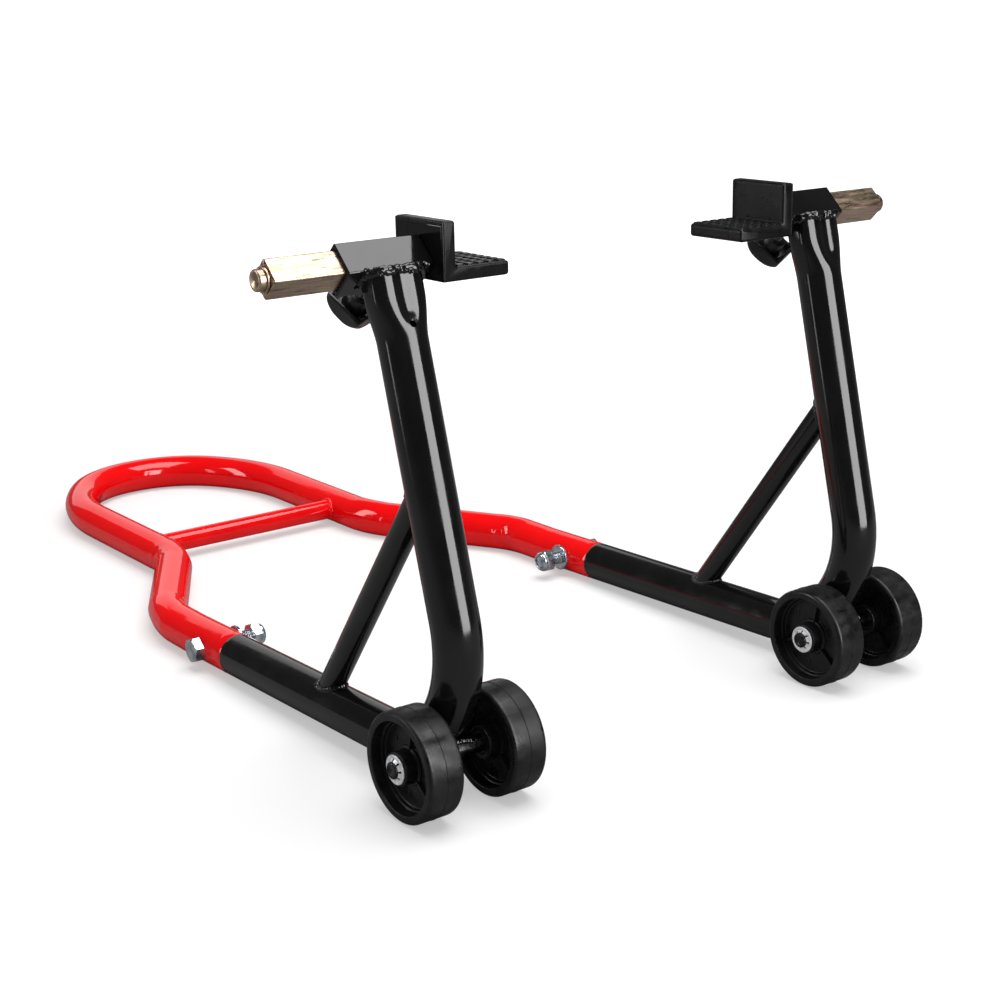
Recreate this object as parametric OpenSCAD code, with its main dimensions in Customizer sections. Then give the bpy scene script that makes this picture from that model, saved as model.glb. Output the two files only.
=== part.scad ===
/* [Tubes] */
// Outer diameter of the handle and side tubes
tube_od = 35; // [30:1:38]
// Wall of the handle and side tubes
tube_wall = 2; // [1.5:0.25:3]
// Outer diameter of the diagonal braces
brace_od = 20; // [16:1:22]
// Outer diameter of the handle's cross brace
cross_od = 20; // [16:1:22]
// Wall of the braces
brace_wall = 1.5; // [1:0.25:2.5]

/* [Frame] */
// Distance from the middle plane to each side frame
side_x = 194.3; // [194:0.1:197]
// Distance from the wheel axle line to the joint of the two tubes
joint_y = 312.5; // [305:0.5:330]
// Distance from the wheel axle line to the point where the lower tube levels out
level_y = 385; // [383:1:388]
// Slope of each side tube's lower run
base_tilt = 1.4; // [1:0.1:1.6]
// Backward lean of the uprights
upright_lean = 14.1; // [12:0.1:15]
// Outward lean of each side frame, about its lower run
side_lean = 0.9; // [0:0.1:1]
// Where the upright's axis is, 200 above the floor, ahead of or behind the axle
upright_y = 13.3; // [8:0.1:15]
// Centre line radius of the bend between lower run and upright
bend_r = 90; // [86:1:94]
// Height of the upright's end on its axis
upright_top_z = 363; // [360:1:365]
// Diameter of the drain hole in the left upright
drain_d = 5; // [3:0.5:6]
// Distance from the upright's end to the drain hole
drain_down = 30; // [24:1:60]

/* [Handle] */
// Distance from the axle line to the outer corner of the handle's first bend
shoulder_y = 440; // [435:1:450]
// Distance from the axle line to the corner of the handle's second bend
neck_y = 585; // [580:1:600]
// Distance from the middle plane to each leg at the neck
neck_x = 112; // [105:1:118]
// Centre line radius of the two neck bends
neck_bend_r = 90; // [70:5:100]
// Distance from the axle line to the start of the loop
loop_y = 758; // [740:1:790]
// Radius of the loop's side bends
loop_side_r = 180; // [160:5:200]
// Angle of the loop's side bends
loop_side_angle = 35; // [30:1:40]
// Distance from the axle line to the cross brace
cross_y = 640; // [630:1:680]

/* [Wheels] */
// Wheel diameter
wheel_d = 80; // [76:1:84]
// Wheel width
wheel_w = 28; // [24:1:30]
// Clear distance between the two wheels of a pair
wheel_gap = 42; // [41:1:50]
// Distance from the middle plane to the middle of each pair of wheels
wheel_x = 195.4; // [194:0.1:198]
// Depth of the rim
rim_depth = 7; // [5:0.5:9]
// Web thickness
web_t = 6; // [4:0.5:8]
// Hub diameter
hub_d = 24; // [20:1:26]
// Axle diameter
axle_d = 12; // [10:1:14]
// Ribs on each side of the web
rib_count = 3; // [3:1:6]

/* [Saddles] */
// Height of the slide bar's axis
bar_z = 368.2; // [367:0.1:370]
// Distance from the axle line to the slide bar's axis
bar_y = 70; // [69:0.5:71]
// Width of the square slide bar
bar_w = 20; // [19:0.5:20]
// Outboard end of the slide bar
bar_end_x = 286.5; // [280:0.5:295]
// Width of the square housing
housing_w = 26; // [26:0.5:27]
// Inboard end of the housing
housing_in_x = 166; // [164:1:168]
// Outboard end of the housing
housing_out_x = 233; // [228:1:238]
// Pivot shaft diameter
shaft_d = 15; // [13:0.5:15]
// Length of the saddle along the bar
saddle_len = 55; // [50:0.2:60]
// Width of the saddle
saddle_w = 57; // [56:1:64]
// Top of the saddle's upright leg above the bar's axis
saddle_rise = 28.5; // [28:0.1:34]
// Underside of the saddle below the bar's axis
saddle_drop = 12.5; // [11:0.1:13]
// Thickness of the saddle's seat, with its steel
seat_t = 11; // [10:0.5:11.5]
// Thickness of the saddle's upright leg, with its steel
cheek_t = 10.4; // [9:0.1:12]

/* [Clamp knobs] */
// Knob diameter across its corners
knob_d = 43; // [40:1:46]
// Distance across the middles of the knob's hollowed sides
knob_across = 31; // [28:1:34]
// Distance from the bar's axis to the near face of the knob's grip
knob_near = 37; // [36:1:42]
// Thickness of the knob's grip
knob_t = 12; // [11:1:15]
// Corners of the knob
knob_corners = 4; // [4:1:6]
// Turn of the left knob at rest
knob_turn_l = 65; // [0:5:90]
// Turn of the right knob at rest
knob_turn_r = 20; // [0:5:90]

/* [Fasteners] */
// Thread diameter of the clamp studs
thread_d = 8; // [8:1:8]
// Width across flats of the clamp nuts
hex_af = 13; // [12:0.5:13]
// Thread diameter of the joint bolts
bolt_d = 12; // [10:1:12]
// Width across flats of the joint bolts and their nuts
bolt_af = 19; // [17:0.5:19]
// Diameter of the joint bolts' washers
washer_d = 24; // [21:1:25]
// Distance from the tube joint to its bolt
bolt_from_joint = 35; // [25:1:38]
// Distance from the joint bolt's washer to its nut
nut_stand_off = 11; // [6:1:16]

/* [Hidden] */
$fn = 96;

tube_r = tube_od / 2;
bore_r = tube_r - tube_wall;
fit = 0.06;                 // radial running clearance of a shaft or thread
slip = 0.2;                 // clearance on each side of the square slide bar
face_gap = 0.4;             // gap between faces that turn or slide past each other
lap = 0.5;                  // a straight tube runs this far into the bend beside it
lap_step = 0.1;             // and a bend's wall is this much inside the straight's
thread_r = thread_d / 2;
hex_r = hex_af / sqrt(3);
bolt_r = bolt_d / 2;
bolt_hex_r = bolt_af / sqrt(3);
bolt_head_t = 7.5;
washer_thick = 2.5;
nut_hex_t = 8;
nut_collar_t = 12;
knob_hollow_r = 45;

// Handle, in plan from the joint to the end of the loop
joint_z = tube_r + (level_y - joint_y) * tan(base_tilt);
level_bend_r = 400;
level_tangent = level_bend_r * tan(base_tilt / 2);
neck_angle = atan((side_x - neck_x) / (neck_y - shoulder_y));
neck_tangent = neck_bend_r * tan(neck_angle / 2);
neck_run = norm([side_x - neck_x, neck_y - shoulder_y]);
loop_join = 2;
loop_end_x = neck_x - loop_side_r * (1 - cos(loop_side_angle))
    - loop_join * sin(loop_side_angle);
loop_end_r = (loop_end_x - loop_join / 2) / cos(loop_side_angle);
handle_end_y = loop_y + loop_side_r * sin(loop_side_angle)
    + loop_join * cos(loop_side_angle) + loop_end_r * (1 - sin(loop_side_angle));
handle_path = [
    [(level_y - joint_y) / cos(base_tilt) - level_tangent, 0, 0],
    [level_bend_r, base_tilt, -90],
    [shoulder_y - neck_tangent - level_y - level_tangent, 0, 0],
    [neck_bend_r, neck_angle, 180],
    [neck_run - 2 * neck_tangent, 0, 0],
    [neck_bend_r, neck_angle, 0],
    [loop_y - neck_y - neck_tangent, 0, 0],
    [loop_side_r, loop_side_angle, 180],
    [loop_join, 0, 0],
    [loop_end_r, 90 - loop_side_angle, 180]];

// Side tube, from the joint forward to the bend and up to the housing
lean_slope = tan(upright_lean);
tilt_slope = tan(base_tilt);
corner_y = (upright_y + lean_slope * (joint_z + joint_y * tilt_slope - 200))
    / (1 + lean_slope * tilt_slope);
corner_z = joint_z + (joint_y - corner_y) * tilt_slope;
bend_angle = 90 + upright_lean - base_tilt;
bend_tangent = bend_r * tan(bend_angle / 2);
upright_run = (upright_top_z - corner_z) / cos(upright_lean) - bend_tangent;
side_path = [
    [(joint_y - corner_y) / cos(base_tilt) - bend_tangent, 0, 0],
    [bend_r, bend_angle, 90 - side_lean],
    [upright_run, 0, 0]];

// Wheels and axle
wheel_r = wheel_d / 2;
axle_r = axle_d / 2;
hub_proud = 1;
washer_t = 1;
axle_proud = 3;
wheel_mid = wheel_gap / 2 + wheel_w / 2;
axle_half = wheel_gap / 2 + wheel_w + hub_proud + face_gap + washer_t + axle_proud;

// Diagonal brace: its axis meets the skin of both tubes at these points
brace_foot = [160, 43];
brace_head = [42.4, 200];
brace_reach = 12;

// Saddle
steel_t = 4;                // upright leg of the steel bracket
steel_seat_t = 5;           // seat leg of the steel bracket
lip = 2;                    // rubber around the steel's edges
saddle_out_x = housing_in_x - face_gap - 0.2;
saddle_in_x = saddle_out_x - saddle_len;
tread_rows = 7;
tread_cols = 5;
tread_h = 1;
tread_pitch_x = 8.6;
tread_pitch_y = 8;
tread_size = 6;

// Clamp screw, measured from the bar's axis
nut_t = 8;
stud_tip = bar_w / 2 + 0.25;
knob_neck_t = 6;
knob_bore_end = knob_near + knob_t - 4;

// The frame's own origin is on the floor under the middle of the stand
mid_y = (handle_end_y + tube_r - wheel_r) / 2;

module placed(side) {
    translate([0, -mid_y, 0]) if (side > 0) children();
        else mirror([1, 0, 0]) children();
}

module ring(outer, inner) {
    difference() {
        circle(outer);
        circle(inner);
    }
}

module rounded_square(w, r) {
    square([w, w - 2 * r], center = true);
    square([w - 2 * r, w], center = true);
    for (x = [-1, 1], y = [-1, 1])
        translate([x, y] * (w / 2 - r)) circle(r);
}

// A tube that follows straights [length, 0, 0] and bends [radius, angle, roll]
module tube_run(path, i = 0) {
    if (i < len(path)) {
        if (path[i][1] == 0) {
            start = i > 0 ? -lap : 0;
            end = path[i][0] + (i < len(path) - 1 ? lap : 0);
            translate([0, 0, start]) linear_extrude(end - start) ring(tube_r, bore_r);
            translate([0, 0, path[i][0]]) tube_run(path, i + 1);
        } else rotate([0, 0, path[i][2]]) {
            translate([path[i][0], 0, 0]) rotate([90, 0, 180])
                rotate_extrude(angle = path[i][1]) translate([path[i][0], 0])
                    ring(tube_r - lap_step, bore_r + lap_step);
            translate([path[i][0] * (1 - cos(path[i][1])), 0, path[i][0] * sin(path[i][1])])
                rotate([0, path[i][1], 0]) rotate([0, 0, -path[i][2]])
                    tube_run(path, i + 1);
        }
    }
}

// Children's Z points back along the lower run, from the joint
module from_joint_back() {
    translate([side_x, joint_y, joint_z]) rotate([-90 - base_tilt, 0, 0]) children();
}

module from_joint_forward() {
    translate([side_x, joint_y, joint_z]) rotate([90 - base_tilt, 0, 0]) children();
}

// Leans children outward with the side frame, about its lower run's axis
module in_side_plane() {
    pivot = [side_x, joint_y, joint_z];
    translate(pivot) rotate(side_lean, [0, cos(base_tilt), -sin(base_tilt)])
        translate(-pivot) children();
}

// Children's Z points up the upright, from the tubes' corner
module along_upright() {
    in_side_plane() translate([side_x, corner_y, corner_z])
        rotate([-upright_lean, 0, 0]) children();
}

module along_x(x0, x1) {
    translate([x0, 0, 0]) rotate([90, 0, 90]) linear_extrude(x1 - x0) children();
}

// Children's Y and Z are measured from the slide bar's axis
module at_bar() {
    translate([0, bar_y, bar_z]) children();
}

// Children's Z points along the clamp screw, away from the bar
module along_clamp() {
    translate([(housing_in_x + housing_out_x) / 2, bar_y, bar_z]) rotate([-135, 0, 0]) children();
}

module joint_bolt_hole() {
    from_joint_back() translate([0, 0, bolt_from_joint]) rotate([0, 90, 0])
        cylinder(h = tube_od + 2, r = bolt_r + 0.2, center = true);
}

module handle_half() {
    difference() {
        from_joint_back() tube_run(handle_path);
        joint_bolt_hole();
    }
}

module handle_tube() {
    reach = loop_join / 2 + lap;
    color("red") placed(1) {
        handle_half();
        mirror([1, 0, 0]) handle_half();
        translate([0, handle_end_y, tube_r]) along_x(-reach, reach) ring(tube_r, bore_r);
    }
}

module handle_cross_brace() {
    color("red") placed(1) difference() {
        translate([0, cross_y, tube_r]) along_x(-neck_x, neck_x)
            ring(cross_od / 2, cross_od / 2 - brace_wall);
        for (x = [-neck_x, neck_x])
            translate([x, cross_y, tube_r]) rotate([90, 0, 0])
                cylinder(h = 2 * cross_od, r = tube_r, center = true);
    }
}

module side_tube(side) {
    color("black") placed(side) difference() {
        from_joint_forward() tube_run(side_path);
        at_bar() rotate([45, 0, 0]) translate([side_x, 0, 0])
            cube([housing_out_x, housing_w, housing_w], center = true);
        translate([wheel_x, 0, wheel_r]) rotate([0, 90, 0])
            cylinder(h = wheel_gap, r = axle_r, center = true);
        if (side < 0) along_upright()
            translate([0, 0, bend_tangent + upright_run - drain_down]) rotate([90, 0, 0])
                cylinder(h = tube_od, d = drain_d);
    }
}

module joint_spigot(side) {
    color("dimgray") placed(side) difference() {
        from_joint_back() translate([0, 0, -50]) linear_extrude(100)
            ring(bore_r - 0.1, bore_r - 2.1);
        joint_bolt_hole();
    }
}

module diagonal_brace(side) {
    span = brace_head - brace_foot;
    color("black") placed(side) difference() {
        in_side_plane() translate([side_x, brace_foot[0], brace_foot[1]])
            rotate([atan2(-span[0], span[1]), 0, 0]) translate([0, 0, -brace_reach])
                linear_extrude(norm(span) + 2 * brace_reach)
                    ring(brace_od / 2, brace_od / 2 - brace_wall);
        from_joint_forward() cylinder(h = joint_y, r = tube_r);
        along_upright() cylinder(h = upright_top_z, r = tube_r);
    }
}

module saddle_housing(side) {
    color("black") placed(side) difference() {
        at_bar() along_x(housing_in_x, housing_out_x) rotate(45) difference() {
            rounded_square(housing_w, 1.2);
            square(bar_w + 2 * slip, center = true);
        }
        along_clamp() cylinder(h = housing_w, r = thread_r + fit);
    }
}

module clamp_nut(side) {
    color("black") placed(side) along_clamp() translate([0, 0, housing_w / 2]) difference() {
        cylinder(h = nut_t, r = hex_r, $fn = 6);
        translate([0, 0, -1]) cylinder(h = nut_t + 2, r = thread_r + fit);
    }
}

module axle(side) {
    color("dimgray") placed(side) translate([wheel_x, 0, wheel_r]) rotate([0, 90, 0]) {
        cylinder(h = 2 * axle_half - 2, r = axle_r, center = true);
        for (s = [0, 1]) mirror([0, 0, s]) translate([0, 0, axle_half - 1])
            cylinder(h = 1, r1 = axle_r, r2 = axle_r - 1);
    }
}

module wheel_profile() {
    rim_in = wheel_r - rim_depth;
    lip_r = 2;
    translate([rim_in, lip_r - wheel_w / 2]) square([rim_depth, wheel_w - 2 * lip_r]);
    translate([rim_in, -wheel_w / 2]) square([rim_depth - lip_r, wheel_w]);
    for (y = [-1, 1]) translate([wheel_r - lip_r, y * (wheel_w / 2 - lip_r)]) circle(lip_r);
    translate([hub_d / 2 - 1, -web_t / 2]) square([rim_in - hub_d / 2 + 2, web_t]);
    translate([axle_r + fit, -wheel_w / 2 - hub_proud])
        square([hub_d / 2 - axle_r - fit, wheel_w + 2 * hub_proud]);
}

module wheel(side, pair_side) {
    rib_h = wheel_w - 16;
    color("#202020") placed(side)
        translate([wheel_x + pair_side * wheel_mid, 0, wheel_r]) rotate([0, 90, 0]) {
            rotate_extrude() wheel_profile();
            for (i = [0 : rib_count - 1]) rotate(i * 360 / rib_count)
                translate([hub_d / 2 - 0.5, -1.25, -rib_h / 2])
                    cube([wheel_r - rim_depth - hub_d / 2 + 1, 2.5, rib_h]);
        }
}

module push_washer(side, pair_side) {
    near = wheel_gap / 2 + wheel_w + hub_proud + face_gap;
    color("silver") placed(side) translate([wheel_x, 0, wheel_r])
        mirror([pair_side > 0 ? 0 : 1, 0, 0]) along_x(near, near + washer_t) ring(10.5, axle_r);
}

// Children's Z points inboard along the joint bolt, from the side tube's axis
module along_joint_bolt() {
    from_joint_back() translate([0, 0, bolt_from_joint]) rotate([0, -90, 0]) children();
}

module joint_bolt(side) {
    color("silver") placed(side) along_joint_bolt() {
        translate([0, 0, -tube_r - bolt_head_t]) cylinder(h = bolt_head_t, r = bolt_hex_r, $fn = 6);
        translate([0, 0, -tube_r])
            cylinder(h = tube_od + washer_thick + nut_stand_off + nut_collar_t - 1, r = bolt_r);
    }
}

module joint_washer(side) {
    color("silver") placed(side) along_joint_bolt() translate([0, 0, tube_r])
        linear_extrude(washer_thick) ring(washer_d / 2, bolt_r + 0.2);
}

module joint_nut(side) {
    color("silver") placed(side) along_joint_bolt()
        translate([0, 0, tube_r + washer_thick + nut_stand_off]) difference() {
            union() {
                cylinder(h = nut_hex_t, r = bolt_hex_r, $fn = 6);
                cylinder(h = nut_collar_t, r = bolt_af / 2 - 0.6);
            }
            translate([0, 0, -1]) cylinder(h = nut_collar_t + 2, r = bolt_r);
        }
}

module slide_bar(side) {
    color("#c8b45a") placed(side) at_bar() along_x(housing_in_x, bar_end_x) rotate(45) difference() {
        rounded_square(bar_w, 2);
        circle(shaft_d / 2 + fit);
    }
}

module pivot_shaft(side) {
    color("#b8a860") placed(side) at_bar() {
        along_x(saddle_out_x - steel_t, bar_end_x + 6) circle(shaft_d / 2);
        translate([bar_end_x + 6, 0, 0]) rotate([0, 90, 0])
            cylinder(h = 1, r1 = shaft_d / 2, r2 = shaft_d / 2 - 1);
    }
}

module shaft_ring(side) {
    color("#9a8a50") placed(side) at_bar()
        along_x(bar_end_x + face_gap, bar_end_x + face_gap + 1.6) ring(shaft_d / 2 + 1.5, shaft_d / 2);
}

module saddle_steel() {
    half = saddle_w / 2 - lip;
    translate([saddle_out_x - steel_t, -half, -saddle_drop])
        cube([steel_t, 2 * half, saddle_rise + saddle_drop - lip - 1]);
    translate([saddle_in_x + lip + 1, -half, -saddle_drop])
        cube([saddle_len - lip - 1 - steel_t, 2 * half, steel_seat_t]);
}

module saddle_bracket(side) {
    color("#181818") placed(side) at_bar() difference() {
        saddle_steel();
        along_x(saddle_out_x - steel_t - 1, saddle_out_x + 1) circle(shaft_d / 2);
    }
}

module saddle_rubber(side) {
    seat_mid_x = (saddle_in_x + saddle_out_x - cheek_t) / 2;
    color("#101010") placed(side) at_bar() {
        difference() {
            translate([saddle_in_x, -saddle_w / 2, -saddle_drop])
                cube([saddle_len, saddle_w, seat_t - tread_h]);
            saddle_steel();
        }
        difference() {
            translate([saddle_out_x - cheek_t, -saddle_w / 2, seat_t - tread_h - saddle_drop])
                cube([cheek_t, saddle_w, saddle_rise + saddle_drop - seat_t + tread_h]);
            saddle_steel();
        }
        for (i = [0 : tread_cols - 1], j = [0 : tread_rows - 1])
            translate([seat_mid_x + (i - (tread_cols - 1) / 2) * tread_pitch_x - tread_size / 2,
                    (j - (tread_rows - 1) / 2) * tread_pitch_y - tread_size / 2,
                    seat_t - tread_h - saddle_drop])
                cube([tread_size, tread_size, tread_h]);
    }
}

module clamp_stud(side) {
    color("dimgray") placed(side) along_clamp() translate([0, 0, stud_tip])
        cylinder(h = knob_bore_end - 0.3 - stud_tip, r = thread_r);
}

module clamp_knob(side) {
    turned = side < 0 ? knob_turn_l : knob_turn_r;
    color("#151515") placed(side) along_clamp() rotate(turned) difference() {
        union() {
            translate([0, 0, knob_near]) cylinder(h = knob_t, d = knob_d);
            translate([0, 0, knob_near - knob_neck_t]) cylinder(h = knob_neck_t + 1, d = 18);
        }
        for (i = [0 : knob_corners - 1]) rotate((i + 0.5) * 360 / knob_corners)
            translate([knob_across / 2 + knob_hollow_r, 0, knob_near - 1])
                cylinder(h = knob_t + 2, r = knob_hollow_r);
        translate([0, 0, knob_near - knob_neck_t - 1])
            cylinder(h = knob_bore_end - knob_near + knob_neck_t + 1, r = thread_r + fit);
    }
}

handle_tube();
handle_cross_brace();
side_tube(-1);  // side_tube_l
side_tube(1);  // side_tube_r
joint_spigot(-1);  // joint_spigot_l
joint_spigot(1);  // joint_spigot_r
diagonal_brace(-1);  // diagonal_brace_l
diagonal_brace(1);  // diagonal_brace_r
saddle_housing(-1);  // saddle_housing_l
saddle_housing(1);  // saddle_housing_r
clamp_nut(-1);  // clamp_nut_l
clamp_nut(1);  // clamp_nut_r
axle(-1);  // axle_l
axle(1);  // axle_r
wheel(-1, 1);  // wheel_outer_l
wheel(-1, -1);  // wheel_inner_l
wheel(1, 1);  // wheel_outer_r
wheel(1, -1);  // wheel_inner_r
push_washer(-1, 1);  // push_washer_outer_l
push_washer(-1, -1);  // push_washer_inner_l
push_washer(1, 1);  // push_washer_outer_r
push_washer(1, -1);  // push_washer_inner_r
joint_bolt(-1);  // joint_bolt_l
joint_bolt(1);  // joint_bolt_r
joint_washer(-1);  // joint_washer_l
joint_washer(1);  // joint_washer_r
joint_nut(-1);  // joint_nut_l
joint_nut(1);  // joint_nut_r
slide_bar(-1);  // slide_bar_l
slide_bar(1);  // slide_bar_r
pivot_shaft(-1);  // pivot_shaft_l
pivot_shaft(1);  // pivot_shaft_r
shaft_ring(-1);  // shaft_ring_l
shaft_ring(1);  // shaft_ring_r
saddle_bracket(-1);  // saddle_bracket_l
saddle_bracket(1);  // saddle_bracket_r
saddle_rubber(-1);  // saddle_rubber_l
saddle_rubber(1);  // saddle_rubber_r
clamp_stud(-1);  // clamp_stud_l
clamp_stud(1);  // clamp_stud_r
clamp_knob(-1);  // clamp_knob_l
clamp_knob(1);  // clamp_knob_r
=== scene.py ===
"""Looks of the paddock stand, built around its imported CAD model.

Lengths are millimetres in the stand's own working frame, which has its origin on the
floor under the wheel axle line: X to the side, Y back towards the handle, Z up.
put() turns them into metres in the row frame.
"""

import math
import random

import bmesh
import bpy
import numpy as np
from mathutils import Matrix, Vector, noise


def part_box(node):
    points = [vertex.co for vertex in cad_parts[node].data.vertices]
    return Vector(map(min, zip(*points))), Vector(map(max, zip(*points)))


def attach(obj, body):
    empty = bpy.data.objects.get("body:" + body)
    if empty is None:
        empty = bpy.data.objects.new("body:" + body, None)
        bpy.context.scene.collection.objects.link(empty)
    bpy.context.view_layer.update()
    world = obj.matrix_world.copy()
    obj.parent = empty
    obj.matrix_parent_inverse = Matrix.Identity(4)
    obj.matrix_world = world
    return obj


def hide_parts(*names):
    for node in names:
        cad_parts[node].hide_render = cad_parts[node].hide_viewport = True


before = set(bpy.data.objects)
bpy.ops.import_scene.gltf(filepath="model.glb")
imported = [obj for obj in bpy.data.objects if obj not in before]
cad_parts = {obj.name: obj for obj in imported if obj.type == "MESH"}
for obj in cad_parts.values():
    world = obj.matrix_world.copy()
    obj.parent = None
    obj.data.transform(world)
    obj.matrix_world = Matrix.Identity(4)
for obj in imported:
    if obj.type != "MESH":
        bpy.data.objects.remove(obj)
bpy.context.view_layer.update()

AXLE_LOW, AXLE_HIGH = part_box("axle_r")
MID_Y = -500 * (AXLE_LOW.y + AXLE_HIGH.y)
SIDES = {"l": -1, "r": 1}
TAU = 2 * math.pi

# Sizes, as in the CAD unless a note says otherwise
TUBE_R, TUBE_WALL = 17.5, 2.0
SIDE_X, SIDE_LEAN = 194.3, math.radians(0.9)
JOINT_Y, LEVEL_Y, BASE_TILT = 312.5, 385.0, math.radians(1.4)
UPRIGHT_LEAN, UPRIGHT_Y = math.radians(14.1), 13.3
BEND_R, UPRIGHT_TOP_Z = 90.0, 363.0
JOINT_Z = TUBE_R + (LEVEL_Y - JOINT_Y) * math.tan(BASE_TILT)
LEVEL_BEND_R = 400.0
SHOULDER_Y, NECK_Y, NECK_X, NECK_BEND_R = 440.0, 585.0, 112.0, 90.0
LOOP_Y, LOOP_SIDE_R, LOOP_SIDE_ANGLE, LOOP_JOIN = 758.0, 180.0, math.radians(35), 2.0
CROSS_Y, CROSS_R, BRACE_R = 640.0, 10.0, 10.0
BRACE_FOOT, BRACE_HEAD = (160.0, 43.0), (42.4, 200.0)
BRACE_WALL, WELD_SINK = 1.5, 0.3      # a brace's end sinks a little into its tube
WHEEL_R, WHEEL_W, WHEEL_GAP, WHEEL_X = 40.0, 28.0, 42.0, 195.4
RIM_IN, TREAD_R = WHEEL_R - 7, WHEEL_R - 0.28     # the moulding line alone is at WHEEL_R
AXLE_R, HUB_R = 6.0, 12.0
HUB_OUT, PUSH_GAP, PUSH_T, AXLE_OUT = 1.0, 0.4, 1.0, 3.0
BAR_Y, BAR_Z, BAR_W, BAR_END = 70.0, 368.2, 20.0, 286.5
HOUSING_W, HOUSING_IN, HOUSING_OUT = 26.0, 166.0, 233.0
SHAFT_R = 7.5
SADDLE_OUT, SADDLE_LEN, SADDLE_W = 165.4, 55.0, 57.0
SADDLE_RISE, SADDLE_DROP, SEAT_T, CHEEK_T = 28.5, 12.5, 11.0, 10.4
STEEL_T, STEEL_SEAT_T = 4.0, 5.0
KNOB_R, KNOB_NEAR, KNOB_T, KNOB_ACROSS = 21.5, 37.0, 12.0, 31.0
KNOB_HOLLOW_R = 150.0     # the grip's sides are flatter than the CAD's
KNOB_TURN = {"l": math.radians(65), "r": math.radians(20)}
THREAD_R, THREAD_PITCH, HEX_AF = 4.0, 1.25, 13.0
BOLT_R, BOLT_AF, BOLT_HEAD, WASHER_R, WASHER_T = 6.0, 19.0, 7.5, 12.0, 2.5
BOLT_PITCH, BOLT_BACK, NUT_STAND_OFF, NUT_HEX_T, NUT_T = 1.75, 35.0, 11.0, 8.0, 12.0

BORE_FIT = 0.06          # play between a bore and what turns in it
POLE_R = 0.02            # closes the middle of a turned part
TUBE_SIDES = 72


# ---- vectors and outlines

def vec(x, y, z):
    return np.array([x, y, z], float)


ACROSS, UP = vec(1, 0, 0), vec(0, 0, 1)


def unit(v):
    v = np.asarray(v, float)
    return v / np.linalg.norm(v)


def turn(points, axis, angle, pivot=(0, 0, 0)):
    """Points, or directions when the pivot is the origin, turned about an axis."""
    k, pivot = unit(axis), np.asarray(pivot, float)
    p = np.asarray(points, float) - pivot
    c, s = math.cos(angle), math.sin(angle)
    turned = p * c + np.cross(np.broadcast_to(k, p.shape), p) * s
    return turned + np.multiply.outer(p @ k, k) * (1 - c) + pivot


def smooth(x):
    x = np.clip(x, 0.0, 1.0)
    return x * x * (3 - 2 * x)


def rounded(corners, steps=5, closed=True):
    """An outline whose corners (x, y, radius) are rounded, with a point just outside each
    end of an arc that keeps the straight parts flat."""
    spots, n = np.array([corner[:2] for corner in corners], float), len(corners)
    bends = []
    for i, corner in enumerate(corners):
        if corner[2] <= 0 or (not closed and i in (0, n - 1)):
            bends.append((None, None, 0.0, 0.0))
            continue
        a, b = unit(spots[i - 1] - spots[i]), unit(spots[(i + 1) % n] - spots[i])
        half = math.acos(np.clip(a @ b, -1, 1)) / 2
        bends.append((a, b, half, corner[2] / math.tan(half)))
    outline = []
    for i, (p, (a, b, half, cut)) in enumerate(zip(spots, bends)):
        if a is None:
            outline.append(p)
            continue
        r = corners[i][2]
        beside = 0.16 * r
        centre = p + unit(a + b) * r / math.sin(half)
        if np.linalg.norm(spots[i - 1] - p) - cut - bends[i - 1][3] > 3 * beside:
            outline.append(p + a * (cut + beside))
        for t in np.linspace(0, 1, steps + 1):
            q = p + a * cut + (b - a) * cut * t
            outline.append(centre + unit(q - centre) * r)
        if np.linalg.norm(spots[(i + 1) % n] - p) - cut - bends[(i + 1) % n][3] > 3 * beside:
            outline.append(p + b * (cut + beside))
    return np.array(outline)


def rounded_square(w, r, steps=5):
    h = w / 2
    return rounded([(h, -h, r), (h, h, r), (-h, h, r), (-h, -h, r)], steps)


def around(n):
    """The angles of n even steps round a circle."""
    return np.arange(n) * TAU / n


def circle(r, n):
    return np.column_stack([r * np.cos(around(n)), r * np.sin(around(n))])


def level_ring(r, angles, h):
    """Points at height h, at one radius or at a radius for each angle."""
    return np.column_stack([r * np.cos(angles), r * np.sin(angles), np.full(len(angles), h)])


# ---- mesh parts

def quads(rows, cols, join_rows, join_cols=True):
    faces = []
    for i in range(rows if join_rows else rows - 1):
        k = (i + 1) % rows
        for j in range(cols if join_cols else cols - 1):
            m = (j + 1) % cols
            faces.append((i * cols + j, i * cols + m, k * cols + m, k * cols + j))
    return faces


def loft(rows, closed=False):
    """A skin over rows of points. A closed one joins its last row to its first, and an open
    one gets end caps."""
    rows = np.asarray(rows, float)
    n, cols = rows.shape[:2]
    faces = quads(n, cols, closed)
    if not closed:
        faces += [tuple(range(cols)), tuple(range((n - 1) * cols, n * cols))]
    return rows.reshape(-1, 3), faces


def axes(z_axis, x_axis):
    z = unit(z_axis)
    x = unit(np.asarray(x_axis, float) - z * (np.asarray(x_axis, float) @ z))
    return x, np.cross(z, x), z


def placed(rows, origin, z_axis, x_axis):
    """Rows of local (x, y, z) put on the axes at origin."""
    x, y, z = axes(z_axis, x_axis)
    rows = np.asarray(rows, float)
    return np.asarray(origin, float) + rows @ np.array([x, y, z])


def lathe(profile, origin, axis, segments=64, start=(0, 0, 1)):
    """A closed profile of (radius, height) turned about an axis."""
    rows = [level_ring(r, around(segments), h) for r, h in profile]
    return loft(placed(rows, origin, axis, start), closed=True)


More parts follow.
